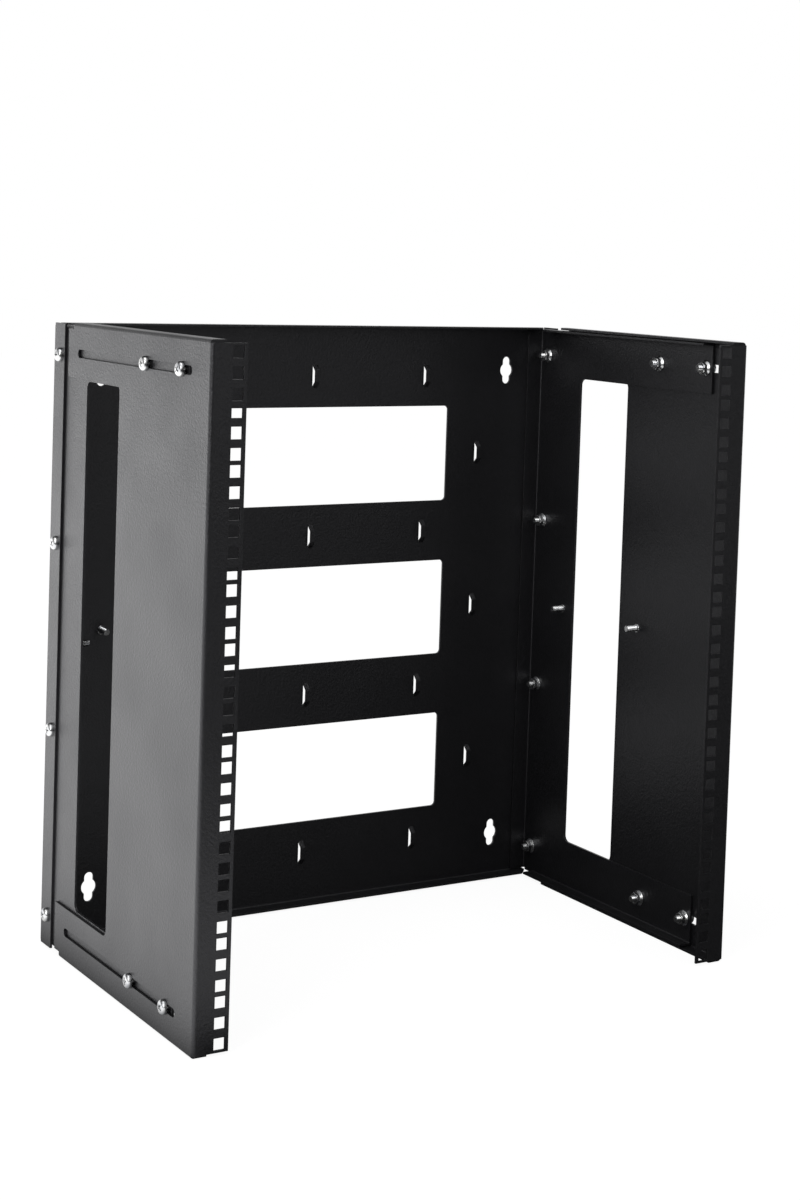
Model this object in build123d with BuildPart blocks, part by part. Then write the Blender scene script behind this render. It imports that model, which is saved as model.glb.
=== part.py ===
from build123d import *
import os

os.makedirs("parts", exist_ok=True)

# Wall mount rack bracket for 19-inch equipment, 12 units high, with sliding side panels.
# Millimetres. The origin is the centre of the wall plane, +Z up, and the front faces -Y.

# Rack standard
UNITS = 12
UNIT = 44.45
HOLES_IN_UNIT = (6.35, 22.225, 38.1)
SQUARE_HOLE = 9.5
HOLE_SPACING = 465.1
RAIL_EDGE = 7.55

# Sheet metal
SHEET = 2.0
BEND = 2.0
CORNER = 6.0
SLIDE_GAP = 0.3
EDGE_GAP = 0.5

# Side panels
RAIL_WIDTH = 30.0
RAIL_END = 2.6
PANEL_LENGTH = 269.0
PANEL_STRIP = 163.0
PANEL_BAND = 45.3
PANEL_LIP = 13.5
PANEL_CHAMFER = 3.0
RELIEF_LENGTH = 10.0
RELIEF_HEIGHT = 5.0
SLOT_HEIGHT = 7.0
SLOT_START = 32.0
SLOT_REAR = 19.7
SLOT_INSET = 25.0

# Arm frames
ARM_SETBACK = 41.2
ARM_STRIP = 69.5
ARM_BAND = 44.5
ARM_LIP = 13.0
ARM_FOOT = 18.0
ARM_DROP = 0.8
BOLT_INSET = 8.8
BOLT_PITCH = 64.8

# Back panel, with the gap behind the side panels as the photograph has it
REAR_GAP = 10.0
BACK_DROP = 1.6
SIDE_FLANGE = 24.0
TOP_FLANGE = 15.0
TOP_FLANGE_END = 5.3
FLANGE_CHAMFER = 8.0
WINDOW_ROWS = 3
WINDOW_BAR = 57.1
WINDOW_END = 75.45
WINDOW_SIDE = 109.2
WINDOW_CORNER = 4.0
KEYHOLE_SIDE = 43.8
KEYHOLE_END = 41.7
KEYHOLE_ROUND = 14.0
KEYHOLE_SLOT = 8.5
KEYHOLE_LENGTH = 26.0
SCREWS = 4
SCREW_END = 26.8
SCREW_INSET = 15.0

# Bridge loops for cable ties, pressed forward out of the back panel
LOOP_SPACING = 119.8
LOOP_BESIDE = 34.2
LOOP_WIDTH = 4.0
LOOP_SLIT = 0.6
LOOP_LENGTH = 20.5
LOOP_CREST = 11.0
LOOP_RISE = 4.8
LOOP_ROOT = 3.0

# M6 hardware
THREAD = 6.0
THREAD_FIT = 0.05
HOLE_FIT = 0.5
SCREW_LENGTH = 14.0
HEAD_DIAMETER = 12.0
HEAD_HEIGHT = 4.2
HEAD_BEVEL = 1.6
NUT_WIDTH = 10.0
NUT_HEIGHT = 6.0
NUT_FLANGE = 14.2
NUT_FLANGE_EDGE = 1.2
NUT_FLANGE_CONE = 2.6
TIP_CHAMFER = 0.7

# Ground studs
STUD_LENGTH = 12.0
STUD_COLLAR = 8.0
STUD_COLLAR_HEIGHT = 0.8
BACK_STUD_INSET = 49.7
ARM_STUD_INSET = 53.0
PANEL_STUD_INSET = 136.5

# Planes that the pieces share, from the middle outward
RAIL_OPENING = HOLE_SPACING - 2 * RAIL_EDGE
PANEL_OUTER = RAIL_OPENING / 2 + RAIL_WIDTH
PANEL_MIDDLE = PANEL_OUTER - SHEET / 2
ARM_OUTER = PANEL_OUTER - SHEET - SLIDE_GAP
ARM_MIDDLE = ARM_OUTER - SHEET / 2
ARM_INNER = ARM_OUTER - SHEET
FLANGE_MIDDLE = ARM_OUTER + SHEET / 2
FLANGE_OUTER = ARM_OUTER + SHEET

# Planes that the pieces share, from the wall forward
PANEL_REAR = -SIDE_FLANGE - REAR_GAP
FRONT = PANEL_REAR - PANEL_LENGTH
ARM_FRONT = FRONT + ARM_SETBACK
BOLT_YS = (ARM_FRONT + BOLT_INSET, ARM_FRONT + BOLT_INSET + BOLT_PITCH)

# Heights that the pieces share, measured from the middle
PANEL_TOP = UNITS * UNIT / 2 + RAIL_END
RAIL_TOP = PANEL_TOP - SHEET - EDGE_GAP
ARM_TOP = PANEL_TOP - SHEET - ARM_DROP
BACK_TOP = PANEL_TOP - BACK_DROP
SLOT_LEVEL = PANEL_TOP - SLOT_INSET

# Sizes that follow from the ones above
BEND_OUTER = BEND + SHEET / 2
HOLE = THREAD + HOLE_FIT
WINDOW_WIDTH = 2 * (FLANGE_OUTER - WINDOW_SIDE)
WINDOW_HEIGHT = (2 * BACK_TOP - 2 * WINDOW_END - (WINDOW_ROWS - 1) * WINDOW_BAR) / WINDOW_ROWS
WINDOW_PITCH = WINDOW_HEIGHT + WINDOW_BAR
KEYHOLE_X = FLANGE_OUTER - KEYHOLE_SIDE
KEYHOLE_Z = BACK_TOP - KEYHOLE_END
SCREW_PITCH = 2 * (BACK_TOP - SCREW_END) / (SCREWS - 1)
CUT = 20.0
FOLD_OVERLAP = 10.0


def folded(*points):
    """Section of a folded sheet, from the corners of its middle line."""
    with BuildSketch() as section:
        with BuildLine():
            FilletPolyline(*points, radius=BEND)
        trace(line_width=SHEET)
    return section.sketch


def rail_heights():
    """Heights of the square holes, from the lowest unit up."""
    bottom = -UNITS * UNIT / 2
    return [bottom + unit * UNIT + hole for unit in range(UNITS) for hole in HOLES_IN_UNIT]


def screw_heights():
    """Heights of the screws that hold an arm frame to the back panel."""
    return [SCREW_END - BACK_TOP + row * SCREW_PITCH for row in range(SCREWS)]


def loop_spots():
    """Centres of the bridge loops: three above and below each window, and one on each side of it."""
    lowest = -(WINDOW_ROWS - 1) / 2 * WINDOW_PITCH
    bars = [lowest + (row - 0.5) * WINDOW_PITCH for row in range(WINDOW_ROWS + 1)]
    middles = [lowest + row * WINDOW_PITCH for row in range(WINDOW_ROWS)]
    beside = WINDOW_WIDTH / 2 + LOOP_BESIDE
    between = [(x, z) for x in (-LOOP_SPACING, 0, LOOP_SPACING) for z in bars]
    return between + [(x, z) for x in (-beside, beside) for z in middles]


def facing_right(x, y, z):
    """Place of a part whose own +Z turns to +X."""
    return Location(Plane(origin=(x, y, z), x_dir=(0, 1, 0), z_dir=(1, 0, 0)))


def facing_left(x, y, z):
    """Place of a part whose own +Z turns to -X."""
    return Location(Plane(origin=(x, y, z), x_dir=(0, 1, 0), z_dir=(-1, 0, 0)))


def finish(piece, name):
    """Label a piece and write its file."""
    piece.part.label = name
    export_step(piece.part, f"parts/{name}.step")


# Right side panel: a rail folded inward at the front and a narrow lip above and below
with BuildPart() as right_side_panel:
    with BuildSketch(Plane.XY.offset(-RAIL_TOP)):
        rail_corner = (PANEL_MIDDLE, FRONT + SHEET / 2)
        add(folded((RAIL_OPENING / 2, FRONT + SHEET / 2), rail_corner, (PANEL_MIDDLE, PANEL_REAR)))
    extrude(amount=2 * RAIL_TOP)
    with BuildSketch(Plane.XZ.offset(-PANEL_REAR + RELIEF_LENGTH)):
        lip_height = PANEL_TOP - SHEET / 2
        lip_start = (PANEL_MIDDLE, RAIL_TOP - FOLD_OVERLAP)
        add(folded(lip_start, (PANEL_MIDDLE, lip_height), (PANEL_OUTER - PANEL_LIP, lip_height)))
        mirror(about=Plane.XZ)
    extrude(amount=PANEL_LENGTH - RELIEF_LENGTH - BEND_OUTER)
    lip_end = PANEL_REAR - RELIEF_LENGTH
    lip_edge = PANEL_OUTER - PANEL_LIP
    lip_tips = right_side_panel.edges().filter_by(Axis.Z).filter_by_position(Axis.Y, lip_end, lip_end)
    chamfer(lip_tips.filter_by_position(Axis.X, lip_edge, lip_edge), PANEL_CHAMFER)
    with BuildSketch(Plane.YZ.offset(PANEL_OUTER)):
        notch_length = PANEL_LENGTH - PANEL_STRIP + CUT
        with Locations((FRONT + PANEL_STRIP + notch_length / 2, 0)):
            RectangleRounded(notch_length, 2 * (PANEL_TOP - PANEL_BAND), CORNER)
        slot_length = PANEL_LENGTH - SLOT_START - SLOT_REAR
        with Locations((FRONT + SLOT_START + slot_length / 2, 0)):
            with GridLocations(0, 2 * SLOT_LEVEL, 1, 2):
                SlotOverall(slot_length, SLOT_HEIGHT)
        with Locations((PANEL_REAR, 0)):
            with GridLocations(0, 2 * PANEL_TOP, 1, 2):
                Rectangle(2 * RELIEF_LENGTH, 2 * RELIEF_HEIGHT)
    extrude(amount=-SHEET - SLIDE_GAP, mode=Mode.SUBTRACT)
    with BuildSketch(Plane.XZ.offset(-FRONT)):
        with Locations(*[(HOLE_SPACING / 2, height) for height in rail_heights()]):
            Rectangle(SQUARE_HOLE, SQUARE_HOLE)
    extrude(amount=-SHEET, mode=Mode.SUBTRACT)

with BuildPart() as left_side_panel:
    mirror(right_side_panel.part, about=Plane.YZ)

# Right arm frame: a foot against the back panel and a lip above and below
with BuildPart() as right_arm_frame:
    foot_middle = -SHEET - SHEET / 2
    with BuildSketch(Plane.XY.offset(-BACK_TOP + 2 * SHEET)):
        foot_corner = (ARM_MIDDLE, foot_middle)
        add(folded((ARM_OUTER - ARM_FOOT, foot_middle), foot_corner, (ARM_MIDDLE, ARM_FRONT)))
    extrude(amount=2 * (BACK_TOP - 2 * SHEET))
    with BuildSketch(Plane.XZ.offset(TOP_FLANGE + 2 * SHEET)):
        lip_height = ARM_TOP - SHEET / 2
        lip_start = (ARM_MIDDLE, BACK_TOP - 2 * SHEET - FOLD_OVERLAP)
        add(folded(lip_start, (ARM_MIDDLE, lip_height), (ARM_OUTER - ARM_LIP, lip_height)))
        mirror(about=Plane.XZ)
    extrude(amount=-ARM_FRONT - TOP_FLANGE - 2 * SHEET)
    with BuildSketch(Plane.YZ.offset(ARM_OUTER)):
        notch_length = -ARM_FRONT - ARM_STRIP + CUT
        with Locations((-ARM_STRIP - notch_length / 2, 0)):
            RectangleRounded(notch_length, 2 * (ARM_TOP - ARM_BAND), CORNER)
        with Locations(*[(y, row * SLOT_LEVEL) for y in BOLT_YS for row in (-1, 1)]):
            Circle(HOLE / 2)
        with Locations(*[(-SCREW_INSET, height) for height in screw_heights()]):
            Circle(HOLE / 2)
    extrude(amount=-SHEET, mode=Mode.SUBTRACT)

with BuildPart() as left_arm_frame:
    mirror(right_arm_frame.part, about=Plane.YZ)

# One bridge loop, a strip that leaves the back panel and comes back to it
with BuildPart() as loop:
    with BuildSketch(Plane.YZ.offset(-LOOP_WIDTH / 2)):
        loop_root = LOOP_LENGTH / 2 + LOOP_ROOT
        low = -SHEET / 2
        high = -SHEET / 2 - LOOP_RISE
        lower_half = ((low, -loop_root), (low, -LOOP_LENGTH / 2), (high, -LOOP_CREST / 2))
        upper_half = ((high, LOOP_CREST / 2), (low, LOOP_LENGTH / 2), (low, loop_root))
        add(folded(*lower_half, *upper_half))
    extrude(amount=LOOP_WIDTH)

# Back panel: side flanges outside the arm frames, narrow flanges above and below
with BuildPart() as back_panel:
    with BuildSketch(Plane.XY.offset(-BACK_TOP + SHEET)):
        left_edge = (-FLANGE_MIDDLE, -SIDE_FLANGE)
        right_edge = (FLANGE_MIDDLE, -SIDE_FLANGE)
        back_corners = ((-FLANGE_MIDDLE, -SHEET / 2), (FLANGE_MIDDLE, -SHEET / 2))
        add(folded(left_edge, *back_corners, right_edge))
    extrude(amount=2 * (BACK_TOP - SHEET))
    flange_half = FLANGE_OUTER - TOP_FLANGE_END
    with BuildSketch(Plane.YZ.offset(-flange_half)):
        flange_height = BACK_TOP - SHEET / 2
        flange_start = (-SHEET / 2, BACK_TOP - SHEET - FOLD_OVERLAP)
        add(folded(flange_start, (-SHEET / 2, flange_height), (-TOP_FLANGE, flange_height)))
        mirror(about=Plane.XZ)
    extrude(amount=2 * flange_half)
    flange_tips = back_panel.edges().filter_by(Axis.Z).filter_by_position(Axis.Y, -TOP_FLANGE, -TOP_FLANGE)
    chamfer(flange_tips, FLANGE_CHAMFER)
    with BuildSketch(Plane.YZ.offset(FLANGE_OUTER)):
        with Locations((-(SIDE_FLANGE + BEND_OUTER) / 2, 0)):
            Rectangle(SIDE_FLANGE - BEND_OUTER, 2 * BACK_TOP)
    extrude(amount=-SHEET)
    with BuildSketch(Plane.YZ.offset(-FLANGE_OUTER)):
        with Locations((-(SIDE_FLANGE + BEND_OUTER) / 2, 0)):
            Rectangle(SIDE_FLANGE - BEND_OUTER, 2 * BACK_TOP)
    extrude(amount=SHEET)
    with BuildSketch(Plane.XZ):
        with GridLocations(0, WINDOW_PITCH, 1, WINDOW_ROWS):
            RectangleRounded(WINDOW_WIDTH, WINDOW_HEIGHT, WINDOW_CORNER)
        with GridLocations(2 * KEYHOLE_X, 2 * KEYHOLE_Z, 2, 2):
            Circle(KEYHOLE_ROUND / 2)
            SlotOverall(KEYHOLE_LENGTH, KEYHOLE_SLOT, rotation=90)
        with Locations(*loop_spots()):
            Rectangle(LOOP_WIDTH + 2 * LOOP_SLIT, LOOP_LENGTH)
    extrude(amount=SHEET, mode=Mode.SUBTRACT)
    with Locations(*[(x, 0, z) for x, z in loop_spots()]):
        add(loop.part)
    with BuildSketch(Plane.YZ.offset(FLANGE_OUTER)):
        with Locations(*[(-SCREW_INSET, height) for height in screw_heights()]):
            Circle(HOLE / 2)
    extrude(amount=-2 * FLANGE_OUTER, mode=Mode.SUBTRACT)

# Hardware, each with its bearing face at its own origin
with BuildPart() as screw:
    with BuildSketch():
        Circle(HEAD_DIAMETER / 2)
    extrude(amount=HEAD_HEIGHT)
    chamfer(screw.faces().sort_by(Axis.Z)[-1].edges(), HEAD_BEVEL)
    with BuildSketch():
        Circle(THREAD / 2)
    extrude(amount=-SCREW_LENGTH)
    chamfer(screw.faces().sort_by(Axis.Z)[0].edges(), TIP_CHAMFER)

with BuildPart() as nut:
    with BuildSketch():
        RegularPolygon(NUT_WIDTH / 2, 6, major_radius=False)
    extrude(amount=NUT_HEIGHT)
    with BuildSketch():
        Circle(NUT_FLANGE / 2)
    extrude(amount=NUT_FLANGE_EDGE)
    with Locations((0, 0, NUT_FLANGE_EDGE)):
        cone_height = NUT_FLANGE_CONE - NUT_FLANGE_EDGE
        cone_base = (Align.CENTER, Align.CENTER, Align.MIN)
        Cone(NUT_FLANGE / 2, NUT_WIDTH / 2, cone_height, align=cone_base)
    Hole(THREAD / 2 + THREAD_FIT)

with BuildPart() as stud:
    with BuildSketch():
        Circle(THREAD / 2)
    extrude(amount=STUD_LENGTH)
    chamfer(stud.faces().sort_by(Axis.Z)[-1].edges(), TIP_CHAMFER)
    with BuildSketch():
        Circle(STUD_COLLAR / 2)
    extrude(amount=STUD_COLLAR_HEIGHT)

# Screws and nuts that hold the arm frames inside the back panel's side flanges
back_spots = [(-SCREW_INSET, height) for height in screw_heights()]
with BuildPart() as right_back_screws:
    with Locations(*[facing_right(FLANGE_OUTER, y, z) for y, z in back_spots]):
        add(screw.part)
with BuildPart() as right_back_nuts:
    with Locations(*[facing_left(ARM_INNER, y, z) for y, z in back_spots]):
        add(nut.part)
with BuildPart() as left_back_screws:
    mirror(right_back_screws.part, about=Plane.YZ)
with BuildPart() as left_back_nuts:
    mirror(right_back_nuts.part, about=Plane.YZ)

finish(back_panel, "back_panel")
finish(right_arm_frame, "right_arm_frame")
finish(left_arm_frame, "left_arm_frame")
finish(right_side_panel, "right_side_panel")
finish(left_side_panel, "left_side_panel")
finish(right_back_screws, "right_back_screws")
finish(left_back_screws, "left_back_screws")
finish(right_back_nuts, "right_back_nuts")
finish(left_back_nuts, "left_back_nuts")

# Depth bolts and nuts, in pairs for the upper and the lower slot
for level, row in (("upper", 1), ("lower", -1)):
    with BuildPart() as right_bolts:
        with Locations(*[facing_right(PANEL_OUTER + SLIDE_GAP / 2, y, row * SLOT_LEVEL) for y in BOLT_YS]):
            add(screw.part)
    with BuildPart() as right_nuts:
        with Locations(*[facing_left(ARM_INNER, y, row * SLOT_LEVEL) for y in BOLT_YS]):
            add(nut.part)
    with BuildPart() as left_bolts:
        mirror(right_bolts.part, about=Plane.YZ)
    with BuildPart() as left_nuts:
        mirror(right_nuts.part, about=Plane.YZ)
    finish(right_bolts, f"right_{level}_depth_bolts")
    finish(right_nuts, f"right_{level}_depth_nuts")
    finish(left_bolts, f"left_{level}_depth_bolts")
    finish(left_nuts, f"left_{level}_depth_nuts")

# Ground studs
with BuildPart() as back_stud:
    with Locations(Location(Plane(origin=(BACK_STUD_INSET - FLANGE_OUTER, -SHEET, 0), z_dir=(0, -1, 0)))):
        add(stud.part)
with BuildPart() as right_arm_stud:
    with Locations(facing_left(ARM_INNER, -ARM_STUD_INSET, 0)):
        add(stud.part)
with BuildPart() as right_panel_stud:
    with Locations(facing_left(PANEL_OUTER - SHEET, FRONT + PANEL_STUD_INSET, 0)):
        add(stud.part)
with BuildPart() as left_arm_stud:
    mirror(right_arm_stud.part, about=Plane.YZ)
with BuildPart() as left_panel_stud:
    mirror(right_panel_stud.part, about=Plane.YZ)

finish(back_stud, "back_ground_stud")
finish(right_arm_stud, "right_arm_ground_stud")
finish(left_arm_stud, "left_arm_ground_stud")
finish(right_panel_stud, "right_panel_ground_stud")
finish(left_panel_stud, "left_panel_ground_stud")
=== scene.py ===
import math

import bmesh
import bpy
from mathutils import Matrix, Vector


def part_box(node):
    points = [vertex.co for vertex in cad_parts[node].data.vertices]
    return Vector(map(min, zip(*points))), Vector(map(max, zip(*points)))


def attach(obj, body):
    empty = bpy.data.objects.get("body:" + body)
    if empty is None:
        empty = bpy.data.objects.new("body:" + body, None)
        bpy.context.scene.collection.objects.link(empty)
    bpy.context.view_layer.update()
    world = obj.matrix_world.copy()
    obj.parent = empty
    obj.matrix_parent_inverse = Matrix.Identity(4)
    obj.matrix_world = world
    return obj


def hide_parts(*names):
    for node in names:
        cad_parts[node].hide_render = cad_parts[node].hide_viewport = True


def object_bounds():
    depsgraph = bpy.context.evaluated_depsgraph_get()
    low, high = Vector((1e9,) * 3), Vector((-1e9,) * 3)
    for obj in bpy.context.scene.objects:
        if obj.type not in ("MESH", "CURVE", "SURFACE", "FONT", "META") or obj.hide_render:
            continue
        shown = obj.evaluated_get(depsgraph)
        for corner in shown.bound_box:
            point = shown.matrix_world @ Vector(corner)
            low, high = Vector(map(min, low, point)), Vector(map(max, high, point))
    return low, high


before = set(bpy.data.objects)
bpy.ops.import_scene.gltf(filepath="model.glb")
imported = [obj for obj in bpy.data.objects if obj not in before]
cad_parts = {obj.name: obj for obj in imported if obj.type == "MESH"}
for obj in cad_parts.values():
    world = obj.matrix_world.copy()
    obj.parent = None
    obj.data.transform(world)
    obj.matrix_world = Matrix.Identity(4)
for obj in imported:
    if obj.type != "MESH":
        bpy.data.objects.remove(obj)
cad_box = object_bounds()

# M6 hardware, in metres
THREAD = 0.006
PITCH = 0.001
THREAD_ROOT = 0.00490
THREADED = 0.0085
HEAD_DIAMETER = 0.012
HEAD_HEIGHT = 0.0042
SCREW_LENGTH = 0.014
RECESS_WIDTH = 0.0066
RECESS_BLADE = 0.0014
RECESS_DEPTH = 0.0031
NUT_WIDTH = 0.010
NUT_HEIGHT = 0.006
NUT_FLANGE = 0.0142
NUT_FLANGE_EDGE = 0.0012
NUT_FLANGE_CONE = 0.0026
NUT_BORE = 0.0061
STUD_LENGTH = 0.012
STUD_COLLAR = 0.008
STUD_COLLAR_HEIGHT = 0.0008

# Broken edges, and how far joined pieces reach into each other, in metres
FINE_BREAK = 0.0001
EDGE_BREAK = 0.0002
COLLAR_CHAMFER = 0.0003
BORE_CHAMFER_FOOT = 0.0003
BORE_CHAMFER_TOP = 0.0004
OVERLAP = 0.0002

# Profiles, as shares of a radius or a height, and the slope of a nut's shoulder
HEAD_SEAT = 0.98
HEAD_WALL = 0.30
HEAD_SHOULDER = 0.44
HEAD_SHOULDER_RISE = 0.64
HEAD_DOME = ((0.30, 0.985), (0.06, 1.0))
RECESS_FLOOR_WIDTH = 0.45
RECESS_FLOOR_BLADE = 0.8
NUT_TOP = 0.96
NUT_SHOULDER_SLOPE = math.tan(math.radians(30))
COLLAR_WALL = 0.7
COLLAR_SOCKET = 0.9

# Meshes
TURN_STEPS = 40
SHOULDER_STEPS = 7
THREAD_END_SLOPE = 1.2
SPARE_ROWS = 2
WELD = 1e-7
SHARP_ANGLE = math.radians(28)
GOLDEN_ANGLE = math.radians(137.5)

# Finishes: linear colours, and heights and radii in metres
COAT_DARK = (0.0035, 0.0035, 0.0042)
COAT_LIGHT = (0.0070, 0.0070, 0.0082)
COAT_ROUGHNESS = (0.36, 0.42)
COAT_GRAIN_HEIGHT = 0.00034
COAT_POWDER_HEIGHT = 0.00008
COAT_EDGE = 0.0005
COAT_SPECULAR = 0.80
COAT_SPECULAR_TINT = (0.96, 0.96, 1.0, 1.0)
ZINC_DARK = (0.46, 0.47, 0.49)
ZINC_LIGHT = (0.68, 0.68, 0.67)
ZINC_ROUGHNESS = (0.16, 0.30)
ZINC_MARK_HEIGHT = 0.00005
ZINC_MARK_STRENGTH = 0.25
ZINC_EDGE = 0.0002
BEVEL_SAMPLES = 4

# Light levels
WHITE = 1.0
AMBIENT = 0.45
FLOOR_COLOUR = (0.9, 0.9, 0.9, 1.0)
FLOOR_GLOW = 0.80
FLOOR_WHITE = 1.15
GLOSS_DIM = 0.03
SOFT_GLOSS = 0.8
FLOOR_IN_GLOSS = 1.7
FRONT_FLOOR_IN_GLOSS = 0.7
CARD_IN_GLOSS = 0.5
WORLD_IN_GLOSS = 1.2
FRONT_WORLD_IN_GLOSS = 0.25

# Directions of the gloss regions
LEFT = (-1.0, 0.0, 0.0)
FRONT = (0.0, -1.0, 0.0)
REAR = (0.0, 1.0, 0.0)
REAR_RIGHT = (0.70, 0.71, 0.0)
WORLD_LOW_REAR = (-0.38, 0.84, -0.38)
WORLD_OVERHEAD_LEFT = (-0.48, -0.38, 0.79)
WORLD_REAR_RIGHT = (0.66, 0.75, 0.0)
WORLD_FRONT = (0.20, -0.98, 0.0)

# Gloss regions: a strength, and ramps from 0 to 1 between two positions along a direction
FLOOR_REGIONS = [
    (FLOOR_IN_GLOSS, [(LEFT, 0.24, 0.32), (REAR, -0.70, -0.25)]),
    (SOFT_GLOSS, [(REAR_RIGHT, 0.25, 0.80)]),
    (FRONT_FLOOR_IN_GLOSS, [(FRONT, 0.33, 0.42), (REAR, -1.1, -0.65), (LEFT, -0.14, 0.04)]),
]
WORLD_REGIONS = [
    (WORLD_IN_GLOSS, [(WORLD_LOW_REAR, 0.55, 0.95)]),
    (WORLD_IN_GLOSS, [(WORLD_OVERHEAD_LEFT, 0.60, 0.90)]),
    (SOFT_GLOSS, [(WORLD_REAR_RIGHT, 0.55, 0.95)]),
    (FRONT_WORLD_IN_GLOSS, [(WORLD_FRONT, 0.80, 1.00)]),
]

# Floor and card, in metres
FLOOR_RADIUS = 9.0
FLOOR_SEGMENTS = 96
CARD_GAP = 0.03

# Camera, at the photograph's place and angle: metres, degrees, millimetres and a share of the frame
CAMERA_PLACE = (-0.95579, -1.71641, 0.34121)
CAMERA_TURN = (86.9922, -1.8724, -31.2920)
LENS = 64.455
SENSOR_HEIGHT = 36.0
CAMERA_SHIFT = -0.2

# Axes of a box, and directions of the hardware
DEPTH_AXIS = 1
HEIGHT_AXIS = 2
TO_RIGHT = Vector((1, 0, 0))
TO_LEFT = Vector((-1, 0, 0))
TO_FRONT = Vector((0, -1, 0))
UP = Vector((0, 0, 1))

# Rows of fasteners on each side: their nodes, the axis that they follow and their count
ROWS = [
    ("back_screws", "back_nuts", HEIGHT_AXIS, 4),
    ("upper_depth_bolts", "upper_depth_nuts", DEPTH_AXIS, 2),
    ("lower_depth_bolts", "lower_depth_nuts", DEPTH_AXIS, 2),
]


# Node helpers
def emptied_tree(owner, output_type):
    """Node tree of a material or world, emptied, and the surface socket of its new output."""
    owner.use_nodes = True
    tree = owner.node_tree
    tree.nodes.clear()
    return tree, tree.nodes.new(output_type).inputs["Surface"]


def new_material(name):
    """Material whose node tree holds only its output and shader."""
    material = bpy.data.materials.new(name)
    tree, surface = emptied_tree(material, "ShaderNodeOutputMaterial")
    shader = tree.nodes.new("ShaderNodeBsdfPrincipled")
    tree.links.new(shader.outputs["BSDF"], surface)
    return material, tree, shader


def noise(tree, scale, detail, roughness=0.5):
    """Noise over the object's own coordinates, with its scale in cells per metre."""
    coordinates = tree.nodes.new("ShaderNodeTexCoord")
    texture = tree.nodes.new("ShaderNodeTexNoise")
    texture.inputs["Scale"].default_value = scale
    texture.inputs["Detail"].default_value = detail
    texture.inputs["Roughness"].default_value = roughness
    tree.links.new(coordinates.outputs["Object"], texture.inputs["Vector"])
    return texture.outputs["Fac"]


def remap(tree, value, low, high, start=0.3, end=0.7):
    """Value between start and end, stretched to run from low to high."""
    node = tree.nodes.new("ShaderNodeMapRange")
    node.inputs["From Min"].default_value = start
    node.inputs["From Max"].default_value = end
    node.inputs["To Min"].default_value = low
    node.inputs["To Max"].default_value = high
    tree.links.new(value, node.inputs["Value"])
    return node.outputs["Result"]


def two_tones(tree, value, dark, light):
    """Colour between two tones."""
    node = tree.nodes.new("ShaderNodeMix")
    node.data_type = "RGBA"
    node.inputs["A"].default_value = (*dark, 1.0)
    node.inputs["B"].default_value = (*light, 1.0)
    tree.links.new(remap(tree, value, 0.0, 1.0), node.inputs["Factor"])
    return node.outputs["Result"]


def bump(tree, pattern, height, strength, normal):
    """Bump on top of another normal, with its height in metres."""
    node = tree.nodes.new("ShaderNodeBump")
    node.inputs["Distance"].default_value = height
    node.inputs["Strength"].default_value = strength
    tree.links.new(pattern, node.inputs["Height"])
    tree.links.new(normal, node.inputs["Normal"])
    return node.outputs["Normal"]


def rounded_edges(tree, radius):
    """Normal that rounds every edge by a radius."""
    node = tree.nodes.new("ShaderNodeBevel")
    node.samples = BEVEL_SAMPLES
    node.inputs["Radius"].default_value = radius
    return node.outputs["Normal"]


def math_node(tree, operation, first, second):
    """Result of a math operation on two sockets or numbers."""
    node = tree.nodes.new("ShaderNodeMath")
    node.operation = operation
    for value, socket in zip((first, second), node.inputs):
        if isinstance(value, float):
            socket.default_value = value
        else:
            tree.links.new(value, socket)
    return node.outputs[0]


def mixed(tree, factor, first, second):
    """Mix of two shaders."""
    node = tree.nodes.new("ShaderNodeMixShader")
    tree.links.new(factor, node.inputs["Fac"])
    tree.links.new(first, node.inputs[1])
    tree.links.new(second, node.inputs[2])
    return node.outputs[0]


def white_light(tree, node_type, strength):
    """White emission or background of a fixed strength."""
    node = tree.nodes.new(node_type)
    node.inputs["Color"].default_value = (1.0, 1.0, 1.0, 1.0)
    node.inputs["Strength"].default_value = strength
    return node.outputs[0]


def gloss_light(tree, node_type, coordinates, regions):
    """White emission or background, dim, and brighter where all the ramps of a region reach."""
    total = GLOSS_DIM
    for strength, ramps in regions:
        region = strength
        for direction, start, end in ramps:
            facing = tree.nodes.new("ShaderNodeVectorMath")
            facing.operation = "DOT_PRODUCT"
            facing.inputs[1].default_value = direction
            position = tree.nodes.new("ShaderNodeTexCoord")
            tree.links.new(position.outputs[coordinates], facing.inputs[0])
            ramp = remap(tree, facing.outputs["Value"], 0.0, 1.0, start, end)
            region = math_node(tree, "MULTIPLY", region, ramp)
        total = math_node(tree, "ADD", total, region)
    node = tree.nodes.new(node_type)
    node.inputs["Color"].default_value = (1.0, 1.0, 1.0, 1.0)
    tree.links.new(total, node.inputs["Strength"])
    return node.outputs[0]


def light_path(tree):
    """Light Path outputs: seen directly or through glass, and seen in gloss."""
    path = tree.nodes.new("ShaderNodeLightPath")
    seen = math_node(tree, "MAXIMUM", path.outputs["Is Camera Ray"], path.outputs["Is Transmission Ray"])
    return seen, path.outputs["Is Glossy Ray"]


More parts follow.
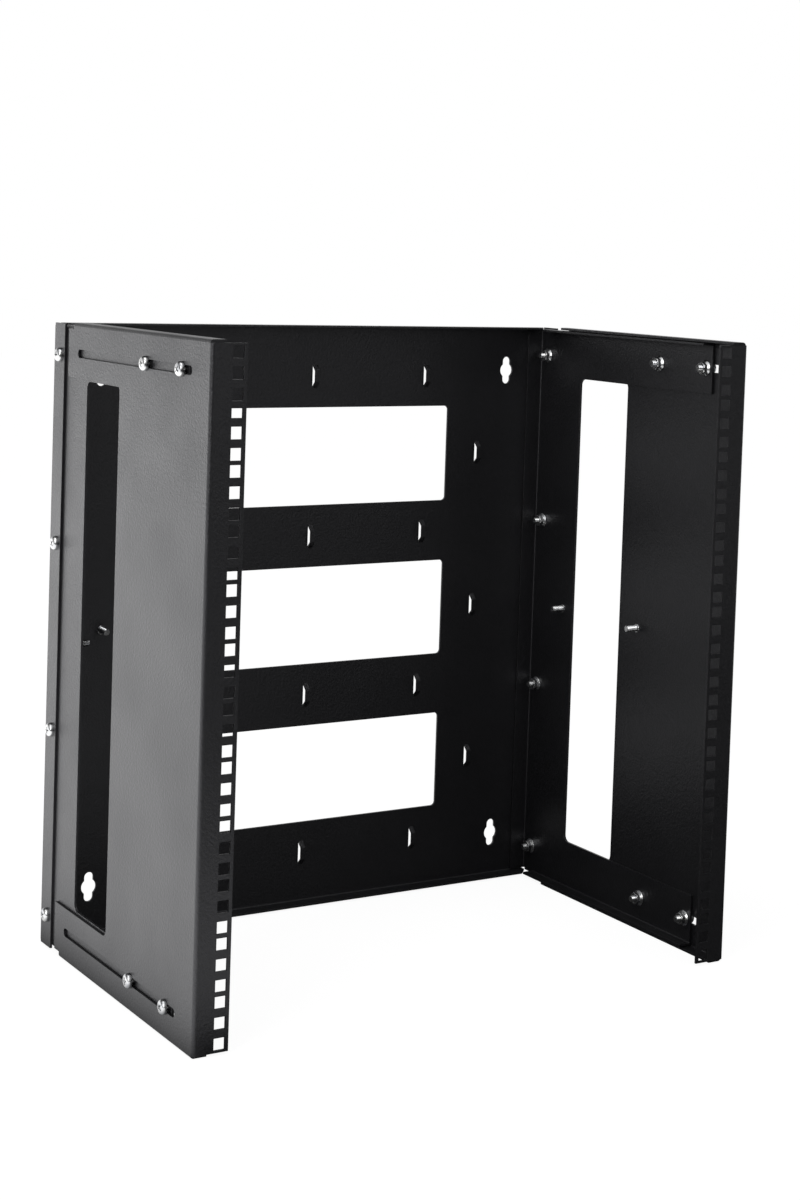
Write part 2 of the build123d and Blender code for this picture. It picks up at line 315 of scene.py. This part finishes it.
# Finishes
def powder_coat():
    """Black fine-texture powder coat, satin."""
    material, tree, shader = new_material("powder_coat")
    grain = noise(tree, scale=440.0, detail=2.0, roughness=0.7)
    powder = noise(tree, scale=1300.0, detail=2.0)
    patches = noise(tree, scale=14.0, detail=2.0)
    tree.links.new(two_tones(tree, grain, COAT_DARK, COAT_LIGHT), shader.inputs["Base Color"])
    tree.links.new(remap(tree, patches, *COAT_ROUGHNESS), shader.inputs["Roughness"])
    normal = bump(tree, powder, COAT_POWDER_HEIGHT, 1.0, rounded_edges(tree, COAT_EDGE))
    normal = bump(tree, grain, COAT_GRAIN_HEIGHT, 1.0, normal)
    tree.links.new(normal, shader.inputs["Normal"])
    shader.inputs["Specular IOR Level"].default_value = COAT_SPECULAR
    shader.inputs["Specular Tint"].default_value = COAT_SPECULAR_TINT
    return material


def zinc_plate():
    """Bright zinc plating with fine handling marks."""
    material, tree, shader = new_material("zinc")
    marks = noise(tree, scale=900.0, detail=4.0, roughness=0.65)
    cloud = noise(tree, scale=160.0, detail=2.0)
    tree.links.new(two_tones(tree, cloud, ZINC_DARK, ZINC_LIGHT), shader.inputs["Base Color"])
    tree.links.new(remap(tree, marks, *ZINC_ROUGHNESS), shader.inputs["Roughness"])
    normal = bump(tree, marks, ZINC_MARK_HEIGHT, ZINC_MARK_STRENGTH, rounded_edges(tree, ZINC_EDGE))
    tree.links.new(normal, shader.inputs["Normal"])
    shader.inputs["Metallic"].default_value = 1.0
    return material


# Shapes of the hardware, each with its bearing face at z = 0
def ring(mesh, radius, z):
    """Ring of points whose radius and height may depend on the angle."""
    points = []
    for step in range(TURN_STEPS):
        angle = 2 * math.pi * step / TURN_STEPS
        r = radius(angle) if callable(radius) else radius
        height = z(angle) if callable(z) else z
        points.append(mesh.verts.new((r * math.cos(angle), r * math.sin(angle), height)))
    return points


def join_rings(mesh, first, second):
    """Band of faces between two rings."""
    count = len(first)
    for step in range(count):
        after = (step + 1) % count
        mesh.faces.new((first[step], first[after], second[after], second[step]))


def lathe(mesh, profile, close=False):
    """Solid of revolution through (radius, z) pairs, with its ends closed, or joined to each other."""
    rings = [ring(mesh, radius, z) for radius, z in profile]
    for first, second in zip(rings, rings[1:]):
        join_rings(mesh, first, second)
    if close:
        join_rings(mesh, rings[-1], rings[0])
    else:
        mesh.faces.new(reversed(rings[0]))
        mesh.faces.new(rings[-1])


def thread(mesh, start, end):
    """Closed threaded rod from one height to another, with chamfered ends."""
    crest, root = THREAD / 2, THREAD_ROOT / 2
    half_pitch = PITCH / 2
    rows = int(round((end - start) / half_pitch))
    columns = []
    for step in range(TURN_STEPS + 1):
        lead = PITCH * step / TURN_STEPS
        angle = 2 * math.pi * step / TURN_STEPS
        column = []
        for row in range(-SPARE_ROWS, rows + SPARE_ROWS + 1):
            z = min(max(start + row * half_pitch + lead - half_pitch / 2, start), end)
            r = crest if row % 2 else root
            r = min(r, root + (z - start) * THREAD_END_SLOPE, root + (end - z) * THREAD_END_SLOPE)
            column.append(mesh.verts.new((r * math.cos(angle), r * math.sin(angle), z)))
        columns.append(column)
    for first, second in zip(columns, columns[1:]):
        for row in range(len(first) - 1):
            mesh.faces.new((first[row], second[row], second[row + 1], first[row + 1]))
    bmesh.ops.remove_doubles(mesh, verts=mesh.verts, dist=WELD)
    bmesh.ops.dissolve_degenerate(mesh, edges=mesh.edges, dist=WELD)
    open_edges = [edge for edge in mesh.edges if edge.is_boundary]
    bmesh.ops.holes_fill(mesh, edges=open_edges, sides=0)


def finished(mesh, name):
    """Mesh data from a bmesh, which is freed, with its normals outward."""
    bmesh.ops.recalc_face_normals(mesh, faces=mesh.faces)
    data = bpy.data.meshes.new(name)
    mesh.to_mesh(data)
    mesh.free()
    return data


def head_mesh():
    """Blank of a pan head, without its recess."""
    head = bmesh.new()
    edge = HEAD_DIAMETER / 2
    profile = [(edge * HEAD_SEAT, 0.0), (edge, FINE_BREAK)]
    for step in range(SHOULDER_STEPS + 1):
        turn = math.pi / 2 * step / SHOULDER_STEPS
        r = edge * (1 - HEAD_SHOULDER) + edge * HEAD_SHOULDER * math.cos(turn)
        profile.append((r, HEAD_HEIGHT * HEAD_WALL + HEAD_HEIGHT * HEAD_SHOULDER_RISE * math.sin(turn)))
    profile += [(edge * share, HEAD_HEIGHT * rise) for share, rise in HEAD_DOME]
    lathe(head, profile)
    return finished(head, "head_blank")


def recess_mesh():
    """Two crossed blades that taper to the floor of a head's recess."""
    cutter = bmesh.new()
    for turn in (0.0, math.pi / 2):
        for vertex in bmesh.ops.create_cube(cutter, size=1.0)["verts"]:
            deep = vertex.co.z < 0
            vertex.co.x *= RECESS_WIDTH * (RECESS_FLOOR_WIDTH if deep else 1.0)
            vertex.co.y *= RECESS_BLADE * (RECESS_FLOOR_BLADE if deep else 1.0)
            vertex.co.z = HEAD_HEIGHT - RECESS_DEPTH if deep else HEAD_HEIGHT + OVERLAP
            vertex.co.rotate(Matrix.Rotation(turn, 3, "Z"))
    return finished(cutter, "recess_cutter")


def cut(blank, cutter):
    """Mesh data of a blank less a cutter."""
    blank_object, cutter_object = [bpy.data.objects.new(data.name, data) for data in (blank, cutter)]
    for item in (blank_object, cutter_object):
        bpy.context.scene.collection.objects.link(item)
    modifier = blank_object.modifiers.new("cut", "BOOLEAN")
    modifier.operation = "DIFFERENCE"
    modifier.solver = "EXACT"
    modifier.use_self = True
    modifier.object = cutter_object
    graph = bpy.context.evaluated_depsgraph_get()
    data = bpy.data.meshes.new_from_object(blank_object.evaluated_get(graph))
    bpy.data.objects.remove(blank_object)
    bpy.data.objects.remove(cutter_object)
    return data


def screw_mesh():
    """Pan head screw with a cross recess, pointing down from z = 0."""
    screw = bmesh.new()
    screw.from_mesh(cut(head_mesh(), recess_mesh()))
    thread_start = -SCREW_LENGTH + THREADED
    shank = bmesh.new()
    lathe(shank, [(THREAD / 2, thread_start), (THREAD / 2, OVERLAP)])
    screw.from_mesh(finished(shank, "shank"))
    rod = bmesh.new()
    thread(rod, -SCREW_LENGTH, thread_start)
    screw.from_mesh(finished(rod, "rod"))
    return finished(screw, "pan_head_screw")


def hex_radius(angle):
    """Distance from a nut's axis to its side, at an angle."""
    sixth = math.pi / 3
    return NUT_WIDTH / 2 / math.cos((angle + sixth / 2) % sixth - sixth / 2)


def nut_mesh():
    """Flange nut, standing up from z = 0."""
    nut = bmesh.new()
    flange = NUT_FLANGE / 2
    flat = NUT_WIDTH / 2
    bore = NUT_BORE / 2

    def shoulder(angle):
        """Height of the chamfered top at the nut's side."""
        return NUT_HEIGHT - (hex_radius(angle) - flat) * NUT_SHOULDER_SLOPE - EDGE_BREAK

    def foot(angle):
        """Height at which the flange's cone meets the nut's side."""
        reach = (flange - hex_radius(angle)) / (flange - flat)
        return NUT_FLANGE_EDGE + (NUT_FLANGE_CONE - NUT_FLANGE_EDGE) * reach

    lathe(nut, [
        (bore, EDGE_BREAK),
        (bore + BORE_CHAMFER_FOOT, 0.0),
        (flange - EDGE_BREAK, 0.0),
        (flange, EDGE_BREAK),
        (flange, NUT_FLANGE_EDGE - EDGE_BREAK),
        (flange - EDGE_BREAK, NUT_FLANGE_EDGE),
        (hex_radius, foot),
        (hex_radius, shoulder),
        (flat * NUT_TOP, NUT_HEIGHT),
        (bore + BORE_CHAMFER_TOP, NUT_HEIGHT),
        (bore, NUT_HEIGHT - BORE_CHAMFER_TOP),
    ], close=True)
    return finished(nut, "flange_nut")


def stud_mesh():
    """Ground stud with a collar, standing up from z = 0."""
    stud = bmesh.new()
    collar = STUD_COLLAR / 2
    lathe(stud, [
        (collar, 0.0),
        (collar, STUD_COLLAR_HEIGHT * COLLAR_WALL),
        (collar - COLLAR_CHAMFER, STUD_COLLAR_HEIGHT),
    ])
    rod = bmesh.new()
    thread(rod, STUD_COLLAR_HEIGHT * COLLAR_SOCKET, STUD_LENGTH)
    stud.from_mesh(finished(rod, "rod"))
    return finished(stud, "ground_stud")


# Places of the hardware, from the boxes of the nodes it stands for
def middle(node):
    """Centre of a node's box."""
    low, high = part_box(node)
    return (low + high) / 2


def side_of_box(node, outward):
    """X of a node's box on its outer side, or on its inner side for an inward direction."""
    low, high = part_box(node)
    return high.x if outward.x > 0 else low.x


def row_places(node, direction, bearing, axis, count, diameter):
    """Bearing point and direction of each fastener in a row, from the node's box and their diameter."""
    low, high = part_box(node)
    first = low[axis] + diameter / 2
    last = high[axis] - diameter / 2
    places = []
    for item in range(count):
        place = middle(node)
        place.x = bearing
        place[axis] = first + (last - first) * item / (count - 1)
        places.append((place, direction))
    return places


def place_hardware(node, data, places, body):
    """One piece that stands for a node's fasteners, each turned by its own angle."""
    joined = bmesh.new()
    for item, (point, direction) in enumerate(places):
        spin = Matrix.Rotation(GOLDEN_ANGLE * (item + len(node)), 4, "Z")
        turn = UP.rotation_difference(direction).to_matrix().to_4x4()
        copy = data.copy()
        copy.transform(Matrix.Translation(point) @ turn @ spin)
        joined.from_mesh(copy)
        bpy.data.meshes.remove(copy)
    mesh = bpy.data.meshes.new(node + "_detail")
    joined.to_mesh(mesh)
    joined.free()
    mesh.materials.append(ZINC)
    piece = bpy.data.objects.new(node + "_detail", mesh)
    bpy.context.scene.collection.objects.link(piece)
    for polygon in mesh.polygons:
        polygon.use_smooth = True
    mesh.set_sharp_from_angle(angle=SHARP_ANGLE)
    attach(piece, body)
    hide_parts(node)


def stage_piece(name, mesh, material):
    """Object that belongs to the studio, from a bmesh."""
    item = bpy.data.objects.new(name, finished(mesh, name))
    item.data.materials.append(material)
    bpy.context.scene.collection.objects.link(item)
    return item


def softbox(name, location, target, size, power):
    """Rectangular lamp that faces a target and isn't seen itself."""
    light = bpy.data.lights.new(name, "AREA")
    light.shape = "RECTANGLE"
    light.size, light.size_y = size
    light.energy = power
    lamp = bpy.data.objects.new(name, light)
    lamp.location = location
    lamp.rotation_euler = (Vector(target) - Vector(location)).to_track_quat("-Z", "Y").to_euler()
    lamp.visible_camera = False
    bpy.context.scene.collection.objects.link(lamp)


POWDER_COAT = powder_coat()
ZINC = zinc_plate()
SCREW = screw_mesh()
NUT = nut_mesh()
STUD = stud_mesh()

# Sheets: the CAD's own shapes in their finish, as are the hardware nodes until they are replaced
for name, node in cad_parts.items():
    node.data.materials.clear()
    node.data.materials.append(POWDER_COAT if name.endswith(("panel", "frame")) else ZINC)

# Hardware of the two sides
for side, outward in (("left", TO_LEFT), ("right", TO_RIGHT)):
    inward = -outward
    for screws, nuts, axis, count in ROWS:
        screws, nuts = f"{side}_{screws}", f"{side}_{nuts}"
        head_seat = side_of_box(screws, outward) - outward.x * HEAD_HEIGHT
        places = row_places(screws, outward, head_seat, axis, count, HEAD_DIAMETER)
        place_hardware(screws, SCREW, places, "wall_frame")
        nut_seat = side_of_box(nuts, outward)
        places = row_places(nuts, inward, nut_seat, axis, count, NUT_FLANGE)
        place_hardware(nuts, NUT, places, "wall_frame")
    for carrier, body in (("arm", "wall_frame"), ("panel", f"{side}_side")):
        stud = f"{side}_{carrier}_ground_stud"
        foot = middle(stud)
        foot.x = side_of_box(stud, outward)
        place_hardware(stud, STUD, [(foot, inward)], body)

# Ground stud on the back panel
back_foot = middle("back_ground_stud")
back_foot.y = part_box("back_ground_stud")[1].y
place_hardware("back_ground_stud", STUD, [(back_foot, TO_FRONT)], "wall_frame")

# Floor under the side panels: white where it is seen, apart from the shadow, and in gloss dim
# but for its regions at the left, at the rear right and in front of the left rail
floor_material = bpy.data.materials.new("white_floor")
floor_tree, floor_surface = emptied_tree(floor_material, "ShaderNodeOutputMaterial")
matt = floor_tree.nodes.new("ShaderNodeBsdfDiffuse")
matt.inputs["Color"].default_value = FLOOR_COLOUR
glow = white_light(floor_tree, "ShaderNodeEmission", FLOOR_WHITE)
sheen = gloss_light(floor_tree, "ShaderNodeEmission", "Object", FLOOR_REGIONS)
floor_seen, floor_gloss = light_path(floor_tree)
floor_share = math_node(floor_tree, "MULTIPLY", floor_seen, FLOOR_GLOW)
floor_look = mixed(floor_tree, floor_share, matt.outputs[0], glow)
floor_look = mixed(floor_tree, floor_gloss, floor_look, sheen)
floor_tree.links.new(floor_look, floor_surface)
floor_mesh = bmesh.new()
bmesh.ops.create_circle(floor_mesh, cap_ends=True, segments=FLOOR_SEGMENTS, radius=FLOOR_RADIUS)
floor = stage_piece("floor", floor_mesh, floor_material)
floor.location.z = cad_box[0][2]

# Card behind the back panel, seen only in gloss, so that the windows don't glare on the right side
card_material = bpy.data.materials.new("grey_card")
card_tree, card_surface = emptied_tree(card_material, "ShaderNodeOutputMaterial")
card_tree.links.new(white_light(card_tree, "ShaderNodeEmission", CARD_IN_GLOSS), card_surface)
low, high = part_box("back_panel")
card_y = high.y + CARD_GAP
corners = [(low.x, low.z), (high.x, low.z), (high.x, high.z), (low.x, high.z)]
card_mesh = bmesh.new()
card_mesh.faces.new([card_mesh.verts.new((x, card_y, z)) for x, z in corners])
card = stage_piece("grey_card", card_mesh, card_material)
card.visible_camera = False
card.visible_diffuse = False
card.visible_transmission = False
card.visible_shadow = False

# World: white where it is seen, dimmer as a light, and in gloss dim but for its regions
world = bpy.data.worlds.new("studio")
bpy.context.scene.world = world
world_tree, world_surface = emptied_tree(world, "ShaderNodeOutputWorld")
ambient = white_light(world_tree, "ShaderNodeBackground", AMBIENT)
backdrop = white_light(world_tree, "ShaderNodeBackground", WHITE)
shine = gloss_light(world_tree, "ShaderNodeBackground", "Generated", WORLD_REGIONS)
world_seen, world_gloss = light_path(world_tree)
world_look = mixed(world_tree, world_seen, ambient, backdrop)
world_look = mixed(world_tree, world_gloss, world_look, shine)
world_tree.links.new(world_look, world_surface)

# Lamps: metres and watts
softbox("top_softbox", location=(-0.3, -0.6, 2.0), target=(0, -0.15, 0), size=(1.4, 1.0), power=8.0)
softbox("left_front_softbox", location=(-1.9, -1.2, 0.9), target=(0, -0.15, 0), size=(0.8, 1.4), power=12.0)
softbox("front_softbox", location=(0.75, -2.2, 0.2), target=(-0.1, -0.15, 0.1), size=(0.5, 0.5), power=0.8)

camera_data = bpy.data.cameras.new("camera")
camera_data.sensor_fit = "VERTICAL"
camera_data.sensor_height = SENSOR_HEIGHT
camera_data.lens = LENS
camera_data.shift_y = CAMERA_SHIFT
camera = bpy.data.objects.new("camera", camera_data)
camera.location = CAMERA_PLACE
camera.rotation_euler = [math.radians(angle) for angle in CAMERA_TURN]
bpy.context.scene.collection.objects.link(camera)
bpy.context.scene.camera = camera
bpy.context.scene.view_settings.view_transform = "Standard"
